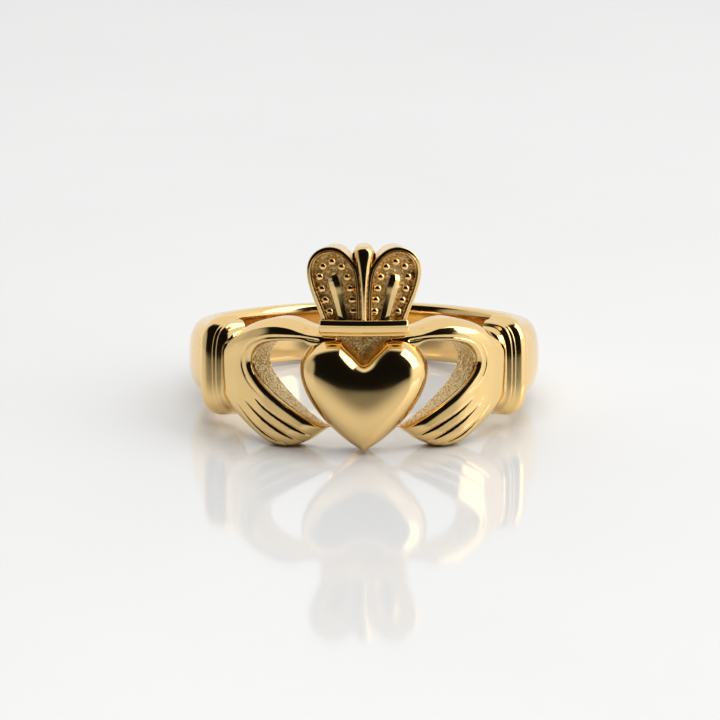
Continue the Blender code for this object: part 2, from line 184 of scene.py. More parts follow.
def gridFaces(rows, columns):       # rows of points that close round, with a pole after each end row
    faces = []
    for row in range(rows - 1):
        for column in range(columns):
            following = (column + 1) % columns
            faces.append((row * columns + column, row * columns + following,
                          (row + 1) * columns + following, (row + 1) * columns + column))
    lowPole, highPole = rows * columns, rows * columns + 1
    last = (rows - 1) * columns
    for column in range(columns):
        following = (column + 1) % columns
        faces.append((following, column, lowPole))
        faces.append((last + column, last + following, highPole))
    return faces


def lofted(name, rings, cast=None, sharp=None):      # rings: rows x points x 3 in the flat layout
    rows, columns, _ = rings.shape
    points = np.vstack([rings.reshape(-1, 3), rings[0].mean(0), rings[-1].mean(0)])
    return meshPiece(name, wrapped(points), gridFaces(rows, columns), cast, sharp)


def mirrorPiece(piece, name):       # the same piece on the other side of the heart
    copy = piece.copy()
    copy.data = piece.data.copy()
    copy.name = name
    copy.data.transform(Matrix.Scale(-1, 4, Vector((1, 0, 0))))
    copy.data.flip_normals()
    bpy.context.scene.collection.objects.link(copy)
    return copy


def runOf(line):                    # length along a line up to each of its points
    return np.concatenate([[0], np.cumsum(np.linalg.norm(np.diff(line[:, :2], axis=0), axis=1))])


def smoothLine(points, count):      # even points along a smooth curve through a few
    points = np.asarray(points, float)
    padded = np.vstack([2 * points[:1] - points[1:2], points, 2 * points[-1:] - points[-2:-1]])
    line = []
    for first, second, third, fourth in zip(padded, padded[1:], padded[2:], padded[3:]):
        for share in np.linspace(0, 1, making["curveSteps"], endpoint=False):
            line.append(0.5 * (2 * second + (third - first) * share
                               + (2 * first - 5 * second + 4 * third - fourth) * share ** 2
                               + (3 * second - first - 3 * third + fourth) * share ** 3))
    line = np.array(line + [points[-1]])
    run = runOf(line)
    places = np.linspace(0, run[-1], count)
    return np.stack([np.interp(places, run, line[:, axis]) for axis in range(line.shape[1])], axis=1)


def smoothTable(table, places):     # columns of a table read smoothly at places along its first column
    table = np.asarray(table, float)
    run = table[:, 0]
    slopes = np.gradient(table, run, axis=0)
    index = np.clip(np.searchsorted(run, places) - 1, 0, len(run) - 2)
    width = (run[index + 1] - run[index])[:, None]
    share = ((places - run[index])[:, None] / width).clip(0, 1)
    rise = table[index + 1] - table[index]
    startSlope, endSlope = slopes[index] * width, slopes[index + 1] * width
    return (table[index] + startSlope * share + (3 * rise - 2 * startSlope - endSlope) * share ** 2
            + (startSlope + endSlope - 2 * rise) * share ** 3)


def eased(value):
    value = np.clip(value, 0, 1)
    return value * value * (3 - 2 * value)


def fading(place, low, high):       # 0 at low, 1 at high
    return eased((place - low) / (high - low))


def smoothMax(first, second, blend):    # the larger of two, rounded where they meet
    near = np.clip(0.5 + 0.5 * (first - second) / blend, 0, 1)
    return second + (first - second) * near + blend * near * (1 - near)


# Flat fields: a height or a distance drawn on a fine grid and read back smoothly
class Field:
    def __init__(self, low, high, step):
        self.low = np.array(low, float)
        self.step = step
        self.shape = tuple(int(math.ceil((h - l) / step)) + 1 for l, h in zip(low, high))
        self.across, self.up = np.meshgrid(*(l + step * np.arange(n) for l, n in zip(low, self.shape)),
                                           indexing="ij")

    def toLine(self, line, closed=False):       # distance to a line, and the place along it
        line = np.asarray(line, float)[:, :2]
        if closed:
            line = np.vstack([line, line[:1]])
        best = np.full(self.shape, 1e9)
        along = np.zeros(self.shape)
        run = runOf(line)
        for index in range(len(line) - 1):
            start, edge = line[index], line[index + 1] - line[index]
            share = (self.across - start[0]) * edge[0] + (self.up - start[1]) * edge[1]
            share = np.clip(share / (edge @ edge + 1e-12), 0, 1)
            gap = np.hypot(self.across - start[0] - share * edge[0], self.up - start[1] - share * edge[1])
            closer = gap < best
            best = np.where(closer, gap, best)
            along = np.where(closer, (run[index] + share * (run[index + 1] - run[index])) / run[-1], along)
        return best, along

    def insideOf(self, line):                   # signed depth inside a closed outline
        line = np.asarray(line, float)[:, :2]
        distance, _ = self.toLine(line, closed=True)
        crossed = np.zeros(self.shape, bool)
        for start, end in zip(line, np.roll(line, -1, axis=0)):
            if start[1] == end[1]:
                continue
            spans = (start[1] > self.up) != (end[1] > self.up)
            at = start[0] + (self.up - start[1]) / (end[1] - start[1]) * (end[0] - start[0])
            crossed ^= spans & (self.across < at)
        return np.where(crossed, distance, -distance)

    def read(self, values, across, up):         # smooth cubic reading at any place
        places = []
        for place, low, count in ((across, self.low[0], self.shape[0]), (up, self.low[1], self.shape[1])):
            at = np.clip((place - low) / self.step, 1, count - 2.001)
            cell = np.floor(at).astype(int)
            share = at - cell
            weights = (-0.5 * share + share ** 2 - 0.5 * share ** 3,
                       1 - 2.5 * share ** 2 + 1.5 * share ** 3,
                       0.5 * share + 2 * share ** 2 - 1.5 * share ** 3,
                       -0.5 * share ** 2 + 0.5 * share ** 3)
            places.append((cell, weights))
        (column, columnWeights), (row, rowWeights) = places
        total = 0
        for i in range(4):
            for j in range(4):
                total = total + (columnWeights[i] * rowWeights[j]
                                 * values[np.clip(column + i - 1, 0, self.shape[0] - 1),
                                          np.clip(row + j - 1, 0, self.shape[1] - 1)])
        return total


# Skin of a solid that is given as a function, negative inside
def skinOf(solid, low, high, step):
    sizes = [int(math.ceil((h - l) / step)) + 1 for l, h in zip(low, high)]
    axes = [l + step * np.arange(n) for l, n in zip(low, sizes)]
    grid = np.stack(np.meshgrid(*axes, indexing="ij"), axis=-1)
    values = solid(grid.reshape(-1, 3)).reshape(sizes)
    inside = values < 0
    cells = tuple(n - 1 for n in sizes)
    total = np.zeros(cells + (3,))
    count = np.zeros(cells)
    for axis in range(3):
        others = [a for a in range(3) if a != axis]
        for shiftA in (0, 1):
            for shiftB in (0, 1):
                start = [slice(0, n) for n in cells]
                start[others[0]] = slice(shiftA, shiftA + cells[others[0]])
                start[others[1]] = slice(shiftB, shiftB + cells[others[1]])
                end = list(start)
                end[axis] = slice(1, 1 + cells[axis])
                first, second = values[tuple(start)], values[tuple(end)]
                crossing = inside[tuple(start)] != inside[tuple(end)]
                share = np.where(crossing, first / np.where(crossing, first - second, 1), 0)
                place = [np.zeros(cells)] * 3
                place[axis] = share
                place[others[0]] = np.full(cells, float(shiftA))
                place[others[1]] = np.full(cells, float(shiftB))
                total += np.stack(place, axis=-1) * crossing[..., None]
                count += crossing
    active = count > 0
    number = np.full(cells, -1)
    number[active] = np.arange(active.sum())
    corner = np.stack(np.nonzero(active), axis=-1)
    points = np.array(low) + step * (corner + total[active] / count[active][:, None])
    faces = []
    for axis in range(3):
        a, b = [x for x in range(3) if x != axis]
        inner = [slice(0, n) for n in sizes]
        inner[axis] = slice(0, sizes[axis] - 1)
        inner[a] = slice(1, sizes[a] - 1)
        inner[b] = slice(1, sizes[b] - 1)
        ahead = list(inner)
        ahead[axis] = slice(1, sizes[axis])
        startIn, endIn = inside[tuple(inner)], inside[tuple(ahead)]
        where = np.stack(np.nonzero(startIn != endIn), axis=-1)
        where[:, a] += 1
        where[:, b] += 1
        quad = []
        for backA, backB in ((1, 1), (0, 1), (0, 0), (1, 0)):
            cell = where.copy()
            cell[:, a] -= backA
            cell[:, b] -= backB
            quad.append(number[tuple(cell.T)])
        quad = np.stack(quad, axis=1)
        outward = inside[tuple(where.T)] == (axis != 1)
        quad[~outward] = quad[~outward][:, ::-1]
        faces.append(quad)
    faces = np.vstack(faces)
    nudge, leastSlope, longestMove = 0.01, 0.05, 0.4 * step
    for _ in range(3):                          # pull each point onto the true surface
        here = solid(points)
        slope = np.stack([(solid(points + shift) - solid(points - shift)) / (2 * nudge)
                          for shift in np.eye(3) * nudge], axis=-1)
        move = -here[:, None] * slope / (slope ** 2).sum(1).clip(leastSlope)[:, None]
        points += np.clip(move, -longestMove, longestMove)
    return points, faces.tolist()


# Shank: a plain band, domed outside, that narrows towards the back. Geometry Nodes draw it by its rule.
shank = {
    "Hole Radius": 8.70, "Side Thickness": 1.65, "Back Thickness": 1.30, "Side Width": 4.1, "Back Width": 3.5,
    "Edge Height": 0.60, "Taper Start": 75.0, "Taper End": 140.0, "Start Angle": 56.0,
    "Fullness": 0.8, "Inner Fullness": 0.34,
}
shankStations = 260
shankSides = 64


def shankTree(material):
    tree = bpy.data.node_groups.new("shankByRule", "GeometryNodeTree")
    for name in shank:
        tree.interface.new_socket(name, in_out="INPUT", socket_type="NodeSocketFloat")
    tree.interface.new_socket("Geometry", in_out="OUTPUT", socket_type="NodeSocketGeometry")
    kit = Tree(tree)
    inputs = kit.node("NodeGroupInput")
    size = {name: kit.term(inputs.outputs[name]) for name in shank}
    grid = kit.node("GeometryNodeMeshGrid", Size_X=1.0, Size_Y=1.0,
                    Vertices_X=shankStations + 1, Vertices_Y=shankSides + 1)
    split = kit.node("ShaderNodeSeparateXYZ", at0=kit.node("GeometryNodeInputPosition").outputs[0])
    along = kit.term(split.outputs[0]) + 0.5
    turn = (kit.term(split.outputs[1]) + 0.5) * (2 * math.pi)
    start = size["Start Angle"]
    angle = start + along * (360.0 - 2.0 * start)
    fromFront = 180.0 - (angle - 180.0).math("ABSOLUTE")
    ease = fromFront.rising(size["Taper Start"], size["Taper End"])
    half = (size["Side Width"] + (size["Back Width"] - size["Side Width"]) * ease) * 0.5
    thickness = size["Side Thickness"] + (size["Back Thickness"] - size["Side Thickness"]) * ease
    cosine, sine = turn.math("COSINE"), turn.math("SINE")
    outer = sine.math("GREATER_THAN", 0.0)
    fullness = size["Inner Fullness"] + (size["Fullness"] - size["Inner Fullness"]) * outer
    width = half * cosine.math("SIGN") * (cosine.math("ABSOLUTE") ** fullness)
    bulge = sine.math("ABSOLUTE") ** fullness
    edge = size["Edge Height"]
    depth = edge + bulge * ((thickness - edge) * outer - edge * (1.0 - outer))
    ends = (along * (1.0 - along)).math("GREATER_THAN", 1e-6)       # the end rows close to a point
    width = width * ends
    depth = edge + (depth - edge) * ends
    radius = (size["Hole Radius"] + depth) * 0.001
    turned = angle * (math.pi / 180)
    place = kit.node("ShaderNodeCombineXYZ", at0=radius * turned.math("SINE"),
                     at1=radius * turned.math("COSINE") * -1.0, at2=width * 0.001)
    moved = kit.node("GeometryNodeSetPosition", Geometry=grid.outputs["Mesh"], Position=place.outputs[0])
    leant = kit.node("GeometryNodeTransform", Geometry=moved.outputs[0], Translation=tuple(ringCentre),
                     Rotation=(math.atan2(-ringAxis.y, ringAxis.z), 0.0, 0.0))
    merged = kit.node("GeometryNodeMergeByDistance", Geometry=leant.outputs[0], Distance=making["weld"])
    smooth = kit.node("GeometryNodeSetShadeSmooth", Geometry=merged.outputs[0])
    real = kit.node("GeometryNodeRealizeInstances", Geometry=smooth.outputs[0])
    finish = kit.node("GeometryNodeSetMaterial", Geometry=real.outputs[0], Material=material)
    kit.node("NodeGroupOutput", Geometry=finish.outputs[0])
    return tree


def plainMesh(name, tree, values, source=None):     # runs a tree once and keeps its result as a plain mesh
    carrier = bpy.data.objects.new(name, source or bpy.data.meshes.new(name))
    bpy.context.scene.collection.objects.link(carrier)
    modifier = carrier.modifiers.new(tree.name, "NODES")
    modifier.node_group = tree
    for item in tree.interface.items_tree:
        if item.in_out == "INPUT" and item.name in values:
            modifier[item.identifier] = values[item.name]
    evaluated = carrier.evaluated_get(bpy.context.evaluated_depsgraph_get())
    mesh = bpy.data.meshes.new_from_object(evaluated)
    carrier.modifiers.remove(modifier)
    carrier.data = mesh
    mesh.name = name
    work = bmesh.new()
    work.from_mesh(mesh)
    bmesh.ops.recalc_face_normals(work, faces=work.faces)
    work.to_mesh(mesh)
    work.free()
    return carrier


# Cuffs: a rolled hem, a groove and a thin ridge, swept across the band
cuff = {
    "start": 9.40, "length": 1.90, "width": 5.80, "thickness": 2.20, "fullness": 0.56,
    "rows": 130, "sides": 96,
    "inner": 0.015,                 # its inner face covers where the hand and the shank meet inside it
    # along, width, thickness, as shares
    "profile": (
        (-0.20, 0.76, 0.74), (-0.06, 0.79, 0.77), (0.0, 0.82, 0.80), (0.04, 0.87, 0.865), (0.08, 0.90, 0.885),
        (0.12, 0.915, 0.865), (0.15, 0.92, 0.855), (0.18, 0.925, 0.885), (0.23, 0.93, 0.915),
        (0.28, 0.93, 0.89), (0.32, 0.93, 0.83), (0.37, 0.935, 0.875), (0.43, 0.95, 0.93), (0.53, 0.985, 0.98),
        (0.66, 1.00, 1.00), (0.80, 0.975, 0.965), (0.91, 0.90, 0.88), (0.98, 0.78, 0.74),
        (1.00, 0.66, 0.55)),
}


def makeCuff(name):
    first, last = cuff["profile"][0][0], cuff["profile"][-1][0]
    table = smoothTable(cuff["profile"], np.linspace(first, last, cuff["rows"]))
    turn = np.linspace(0, 2 * math.pi, cuff["sides"], endpoint=False)
    rings = []
    for along, width, thickness in table:
        cosine, sine = np.cos(turn), np.sin(turn)
        up = -np.sign(cosine) * np.abs(cosine) ** cuff["fullness"] * width * cuff["width"] / 2
        crest = thickness * cuff["thickness"]
        out = np.where(sine > 0, np.abs(sine) ** cuff["fullness"] * crest, -cuff["inner"])
        across = np.full_like(turn, cuff["start"] + along * cuff["length"])
        rings.append(np.stack([across, up, out], axis=1))
    return lofted(name, np.array(rings))


# Hands: a relief whose height is drawn flat, cut out along its outline
hand = {
    "step": 0.045, "fieldStep": 0.025, "low": (1.2, -4.4), "high": (10.4, 3.7),
    # distance from the thumb's upper edge, drop: an upward strip, a crisp ridge, then the broad face
    "topProfile": ((0.0, 0.88), (0.06, 0.71), (0.20, 0.46), (0.36, 0.20), (0.43, 0.108), (0.50, 0.082),
                   (0.65, 0.036), (0.78, 0.008), (0.90, 0.0), (1.5, 0.0), (9.0, 0.0)),
    "bottomRound": 0.95, "bottomDrop": 0.95, "bottomSteep": 0.985, "reach": 0.85,
    "edgeRound": 0.16, "lipRound": 0.36, "lipSpan": 0.8, "backRound": 0.04,
    "floorGap": 0.02, "floorRound": 0.12, "skinLow": -0.15, "skinHigh": 2.3, "calm": 2,
    # the opening's wall is left as cast: how near to its outline, and how far below the face
    "castReach": 0.16, "castReachFade": 0.1, "castDepth": 0.30, "castDepthFade": 0.2,
    "linePoints": {"top": 90, "opening": 150, "bottom": 110, "crease": 120, "groove": 90},
    # across, up: from the cuff over the thumb to the bar
    "top": ((10.1, 1.70), (9.4, 1.88), (8.98, 2.02), (8.24, 2.40), (7.39, 2.80), (6.45, 3.12), (5.31, 3.32),
            (4.37, 3.26), (3.67, 3.06), (3.11, 2.92), (2.2, 2.85), (1.5, 2.80)),
    # from under the bar round the opening to the heart's flank
    "opening": ((1.5, 2.0), (2.2, 1.84), (2.9, 1.80), (3.25, 1.90), (3.49, 2.06), (3.80, 2.12), (4.36, 2.11),
                (5.00, 2.06), (5.81, 1.90), (6.30, 1.66), (6.62, 1.34), (6.80, 0.98), (6.83, 0.66),
                (6.66, 0.24), (6.24, -0.22), (5.69, -0.70), (5.02, -1.21), (4.37, -1.68), (3.75, -2.10),
                (3.14, -2.46), (2.54, -2.78), (2.1, -2.72), (1.5, -2.45)),
    # and from the heart below the fingers back to the cuff
    "bottom": ((1.4, -2.75), (1.9, -2.92), (2.27, -2.93), (2.65, -3.16), (3.10, -3.44), (3.55, -3.69),
               (4.02, -3.87), (4.49, -4.02), (5.04, -4.08), (5.69, -4.01), (6.28, -3.81), (6.99, -3.38),
               (7.74, -2.94), (8.64, -2.46), (9.3, -2.15), (10.1, -2.0)),
    # across, up, out: how high the hand stands there
    "heights": ((9.9, 0.0, 1.58), (9.9, 1.4, 1.52), (9.9, -1.6, 1.46), (8.8, 0.3, 1.78), (8.6, -1.4, 1.72),
                (8.6, 1.6, 1.80), (7.6, -0.4, 1.95), (7.4, -1.9, 1.86), (7.2, 1.7, 1.98), (6.2, 2.5, 1.98),
                (5.0, 2.6, 1.92), (3.8, 2.5, 1.80), (2.6, 2.4, 1.66), (6.3, -1.3, 1.98), (6.0, -2.6, 1.86),
                (5.0, -2.2, 1.92), (4.8, -3.4, 1.68), (3.9, -2.6, 1.75), (3.6, -3.2, 1.52),
                (3.0, -2.75, 1.42), (2.3, -2.8, 1.15), (1.5, -2.8, 1.0)),
    # crease between the thumb or palm and the rounded lip of the opening
    "crease": ((2.6, 2.22), (3.38, 2.33), (3.86, 2.37), (4.53, 2.36), (5.48, 2.29), (6.01, 2.16),
               (6.64, 1.90), (7.08, 1.52), (7.35, 1.03), (7.39, 0.57), (7.24, 0.12), (6.87, -0.41),
               (6.31, -0.88), (5.6, -1.40), (4.9, -1.88)),
    "creaseDepth": 0.07, "creaseWidth": 0.065, "creaseFade": (0.55, 0.92),
    # grooves between the fingers, each from where it fades in near the knuckles to the fingertips
    "grooves": (
        ((6.55, -1.18), (6.31, -1.36), (5.77, -1.80), (5.12, -2.22), (4.44, -2.62), (3.77, -3.00),
         (3.25, -3.30), (2.85, -3.50)),
        ((7.30, -1.36), (7.02, -1.57), (6.45, -2.02), (5.77, -2.52), (5.00, -3.00), (4.32, -3.40),
         (3.95, -3.60), (3.6, -3.85)),
        ((7.90, -1.62), (7.64, -1.84), (7.18, -2.25), (6.53, -2.82), (5.91, -3.27), (5.38, -3.56),
         (4.93, -3.76), (4.6, -4.1)),
    ),
    "grooveDepth": 0.11, "grooveWidth": 0.085, "grooveFade": (0.05, 0.80),
    "grooveWidening": 0.5, "grooveStart": 0.3, "grooveLead": 0.1,
}


def handRelief():
    field = Field(hand["low"], hand["high"], hand["fieldStep"])
    points = hand["linePoints"]
    top, opening, bottom = (smoothLine(hand[part], points[part]) for part in ("top", "opening", "bottom"))
    depth = field.insideOf(np.vstack([top, opening, bottom]))
    toTop, toOpening, toBottom = (field.toLine(line)[0] for line in (top, opening, bottom))
    beyond = (depth < 0) & (np.minimum(toTop, toBottom) < toOpening)
    toTop, toBottom = (np.where(beyond, 0, distance) for distance in (toTop, toBottom))
    weight = total = 0
    for across, up, out in hand["heights"]:
        near = (field.across - across) ** 2 + (field.up - up) ** 2
        near = np.exp(-near / (2 * hand["reach"] ** 2)) + 1e-9
        weight, total = weight + near, total + near * out
    height = total / weight
    height = height - smoothTable(hand["topProfile"], toTop.ravel())[:, 1].reshape(field.shape)
    share = 1 - np.clip(toBottom / hand["bottomRound"], 0, 1)
    height = height - hand["bottomDrop"] * (1 - np.sqrt(1 - hand["bottomSteep"] * share ** 2))
    gap, along = field.toLine(smoothLine(hand["crease"], points["crease"]))
    fade = 1 - fading(along, *hand["creaseFade"])
    height = height - hand["creaseDepth"] * fade * np.exp(-(gap / hand["creaseWidth"]) ** 2)
    for groove in hand["grooves"]:
        gap, along = field.toLine(smoothLine(groove, points["groove"]))
        fade = fading(along, *hand["grooveFade"])
        width = hand["grooveWidth"] * (1 + hand["grooveWidening"] * fade)
        cut = np.clip(1 - (gap / width) ** 2, 0, 1) ** 2
        deepest = hand["grooveDepth"] * (hand["grooveStart"] + (1 - hand["grooveStart"]) * fade)
        height = height - deepest * eased(along / hand["grooveLead"]) * cut
    nearOpening = eased((np.minimum(toTop, toBottom) - toOpening) / hand["lipSpan"] + 0.5)
    return field, height, depth, nearOpening, toOpening


def makeHand(name):
    field, height, depth, nearOpening, toOpening = handRelief()

    def solid(points):
        across, up, out = points[:, 0], points[:, 1], points[:, 2]
        lid = out - field.read(height, across, up)
        edge = -field.read(depth, across, up)
        share = field.read(nearOpening, across, up).clip(0, 1)
        blend = hand["edgeRound"] + (hand["lipRound"] - hand["edgeRound"]) * share
        skin = smoothMax(smoothMax(lid, edge, blend), -out, hand["backRound"])
        sunk = hand["floorGap"] - wrapped(points)[:, 2] * 1000          # nothing reaches below the floor
        return smoothMax(skin, sunk, hand["floorRound"])

    points, faces = skinOf(solid, hand["low"] + (hand["skinLow"],), hand["high"] + (hand["skinHigh"],),
                           hand["step"])
    across, up, out = points.T
    wall = eased((hand["castReach"] - field.read(toOpening, across, up)) / hand["castReachFade"])
    under = eased((field.read(height, across, up) - out - hand["castDepth"]) / hand["castDepthFade"])
    return meshPiece(name, wrapped(points), faces, cast=wall * under, calm=hand["calm"])


# Heart: a dome that swells from its outline, with a cleft that fades out below the lobes
heart = {
    "half": 3.8, "rise": 2.34, "drop": 4.09, "edge": 1.35, "dome": 1.47, "edgeRound": 0.07,
    "lobeCentre": (0.47, 0.20), "belowLobe": (1.00, -0.28), "aboveTip": (0.46, -0.78),
    "cleft": (1.16, 1.30),          # across, where a lobe's round turns into the straight V, and the V's foot
    "fullness": 0.80, "cleftDepth": 0.06, "cleftWidth": 0.16, "cleftEnd": 0.5,
    "back": -0.01, "backRound": 0.04, "step": 0.05, "low": (-4.2, -4.5, -0.15), "high": (4.2, 2.6, 3.1),
    "fieldStep": 0.04, "fieldLow": (-4.3, -4.6), "fieldHigh": (4.3, 2.7),
    "lobePoints": 60, "flankPoints": 80, "softPoints": 420, "softReach": 0.25,
}


def bezier(handles, count):
    start, first, second, end = (np.array(point, float) for point in handles)
    share = np.linspace(0, 1, count, endpoint=False)[:, None]
    return ((1 - share) ** 3 * start + 3 * (1 - share) ** 2 * share * first
            + 3 * (1 - share) * share ** 2 * second + share ** 3 * end)


def heartOutline():                 # from the cleft round the right side to the tip and back
    half, rise, drop = heart["half"], heart["rise"], heart["drop"]
    centre = np.array((heart["lobeCentre"][0] * half, heart["lobeCentre"][1] * rise))
    radius = np.array((half, rise)) - centre
    start = math.acos((heart["cleft"][0] - centre[0]) / radius[0])
    angle = np.linspace(start, 0, heart["lobePoints"], endpoint=False)
    lobe = centre + np.stack([radius[0] * np.cos(angle), radius[1] * np.sin(angle)], axis=1)
    flank = bezier(((half, centre[1]), (heart["belowLobe"][0] * half, heart["belowLobe"][1] * drop),
                    (heart["aboveTip"][0] * half, heart["aboveTip"][1] * drop), (0, -drop)),
                   heart["flankPoints"])
    right = np.vstack([[(0, heart["cleft"][1])], lobe, flank, [(0, -drop)]])
    return np.vstack([right, right[1:-1][::-1] * (-1, 1)])


def softDepth(field, outline, depth):           # depth without ridges where two sides are equally near
    closed = np.vstack([outline, outline[:1]])
    run = runOf(closed)
    places = np.linspace(0, run[-1], heart["softPoints"], endpoint=False)
    even = np.stack([np.interp(places, run, closed[:, axis]) for axis in (0, 1)], axis=1)
    total = 0
    for place in even:
        gap = (field.across - place[0]) ** 2 + (field.up - place[1]) ** 2
        total = total + (run[-1] / heart["softPoints"]) / (gap + 1e-4) ** 1.5
    soft = (total / 2) ** -0.5
    return np.where(depth > 0, depth + (soft - depth) * eased(depth / heart["softReach"]), depth)


def makeHeart(name):
    outline = heartOutline()
    field = Field(heart["fieldLow"], heart["fieldHigh"], heart["fieldStep"])
    depth = field.insideOf(outline)
    soft = softDepth(field, outline, depth)
    share = np.clip(soft / soft.max(), 0, 1)
    height = heart["edge"] + heart["dome"] * (share * (2 - share)) ** heart["fullness"]
    fade = fading(field.up, heart["cleftEnd"], outline[0][1])
    height = height - heart["cleftDepth"] * fade * np.exp(-(field.across / heart["cleftWidth"]) ** 2)

    def solid(points):
        across, up, out = points[:, 0], points[:, 1], points[:, 2]
        lid = out - field.read(height, across, up)
        edge = -field.read(depth, across, up)
        return smoothMax(smoothMax(lid, edge, heart["edgeRound"]), heart["back"] - out, heart["backRound"])

    points, faces = skinOf(solid, heart["low"], heart["high"], heart["step"])
    return meshPiece(name, wrapped(points), faces)


# Crown: two lobes with a raised rim round a sunk field, a ridged spike in each, a bud between them
crown = {
    "low": 3.47, "half": 3.25, "height": 4.08, "field": 1.44, "rim": 1.75, "rimWidth": 0.38,
    "footDrop": 0.65, "back": 0.01, "curvePoints": 36, "rimStations": 34, "lobeSharp": 45,
    # shares of the outline that close the back, heights of the wall, shares that close the field
    "backShares": (0.15, 0.4, 0.7, 0.97, 1.0), "wallHeights": (0.04, 0.5, 1.1, 1.35),
    "fieldShares": (0.985, 0.8, 0.6, 0.4, 0.2),
    # start, first handle, second handle, end of each curve, as shares of half width and height
    "lobe": (((0.74, 0.0), (0.86, 0.26), (1.0, 0.45), (1.0, 0.66)),
             ((1.0, 0.66), (1.0, 0.88), (0.78, 1.0), (0.58, 1.0)),
             ((0.58, 1.0), (0.38, 1.0), (0.23, 0.88), (0.12, 0.73)),
             ((0.12, 0.73), (0.06, 0.63), (0.03, 0.45), (0.03, 0.0))),
    # inset in rim widths, share of the rim's height
    "rimProfile": ((0.0, 0.78), (0.03, 0.85), (0.08, 0.89), (0.25, 0.94), (0.45, 0.99), (0.54, 1.0),
                   (0.58, 0.90), (0.62, 0.62), (0.67, 0.56), (0.73, 0.80), (0.80, 0.90), (0.87, 0.80),
                   (0.94, 0.40), (1.0, 0.0)),
    # along, width, crest
    "spike": ((0.0, 0.80, 0.92), (0.25, 0.84, 0.93), (0.50, 0.92, 0.96), (0.74, 1.0, 1.0), (0.84, 0.96, 0.99),
              (0.92, 0.74, 0.92), (0.97, 0.46, 0.84), (1.0, 0.10, 0.74)),
    "spikeWidth": 0.60, "spikeLength": 2.78, "spikeCrest": 1.84, "spikeBase": 0.36, "spikeLean": (0.21, 0.69),
    # places across it, how far its flanks fall, how round its ridge is
    "spikeShares": (0.0, 0.0, 0.04, 0.14, 0.30, 0.42, 0.48, 0.52, 0.58, 0.70, 0.86, 0.96, 1.0, 1.0),
    "spikeFall": 0.30, "spikeRidge": 0.0036, "spikeSink": 0.15, "spikeStations": 60, "spikeSharp": 50,
    # up, width, crest, width of the web that joins it to the lobes
    "bud": ((-0.06, 0.46, 0.94, 0.48), (0.20, 0.47, 0.99, 0.49), (0.35, 0.51, 1.0, 0.54),
            (0.48, 0.57, 0.995, 0.64), (0.58, 0.65, 0.98, 0.78), (0.68, 0.75, 0.96, 0.95),
            (0.78, 0.87, 0.935, 1.15), (0.85, 0.97, 0.91, 1.28), (0.90, 1.0, 0.89, 1.26),
            (0.94, 0.95, 0.865, 1.12), (0.97, 0.82, 0.84, 0.95), (0.993, 0.58, 0.80, 0.70),
            (1.008, 0.28, 0.75, 0.36)),
    "budWidth": 1.06, "budCrest": 2.16, "budWall": 1.44, "webHeight": 1.36, "webMargin": 0.02,
    "budFullness": 0.9, "budSides": 31, "budStations": 90, "budSharp": 50,
}


def insetLine(points, distance):    # a closed anticlockwise outline moved inwards
    ahead = np.roll(points, -1, axis=0) - points
    ahead = ahead / np.linalg.norm(ahead, axis=1)[:, None].clip(1e-9)
    behind = np.roll(ahead, 1, axis=0)
    square = np.stack([-ahead[:, 1] - behind[:, 1], ahead[:, 0] + behind[:, 0]], axis=1)
    square = square / np.linalg.norm(square, axis=1)[:, None]
    stretch = 1 / np.clip(square[:, 1] * ahead[:, 0] - square[:, 0] * ahead[:, 1], 0.6, 1)
    return points + square * distance * stretch[:, None]


def lobeOutline():
    curves = [bezier([(x * crown["half"], crown["low"] + y * crown["height"]) for x, y in handles],
                     crown["curvePoints"]) for handles in crown["lobe"]]
    inner, outer = crown["lobe"][-1][-1][0] * crown["half"], crown["lobe"][0][0][0] * crown["half"]
    foot = crown["low"] - crown["footDrop"]
    return np.vstack(curves + [[(inner, crown["low"]), (inner, foot), (outer, foot)]])


def makeLobe(name):
    outline = lobeOutline()
    middle = outline.mean(0)
    rings = [(middle + (outline - middle) * share, crown["back"]) for share in crown["backShares"]]
    rings += [(outline, out) for out in crown["wallHeights"]]
    for inset, rise in smoothTable(crown["rimProfile"], np.linspace(0, 1, crown["rimStations"])):
        out = crown["field"] + (crown["rim"] - crown["field"]) * rise
        rings.append((insetLine(outline, inset * crown["rimWidth"]), out))
    cast = [0.0] * len(rings)
    sunk = rings[-1][0]
    for share in crown["fieldShares"]:
        rings.append((middle + (sunk - middle) * share, crown["field"]))
        cast.append(1.0)
    layers = np.array([np.column_stack([line, np.full(len(line), out)]) for line, out in rings])
    cast = np.append(np.repeat(cast, len(outline)), (0, 1))
    return lofted(name, layers, cast=cast, sharp=crown["lobeSharp"])


def makeSpike(name):
    base = np.array((crown["spikeBase"] * crown["half"], crown["low"]))
    lean = np.array((crown["spikeLean"][0] * crown["half"], crown["spikeLean"][1] * crown["height"]))
    lean = lean / np.linalg.norm(lean)
    square = np.array((lean[1], -lean[0]))
    foot = crown["field"] - crown["spikeSink"]
    share = np.array(crown["spikeShares"])
    rise = 1 - crown["spikeFall"] * np.sqrt(((share - 0.5) * 2) ** 2 + crown["spikeRidge"])
    rings = []
    for along, width, crest in smoothTable(crown["spike"], np.linspace(0, 1, crown["spikeStations"])):
        middle = base + lean * along * crown["spikeLength"]
        half = square * width * crown["spikeWidth"] / 2
        out = crown["field"] + (crest * crown["spikeCrest"] - crown["field"]) * rise
        out[0] = out[-1] = foot
        rings.append(np.column_stack([middle - half + 2 * half * share[:, None], out]))
    return lofted(name, np.array(rings), sharp=crown["spikeSharp"])


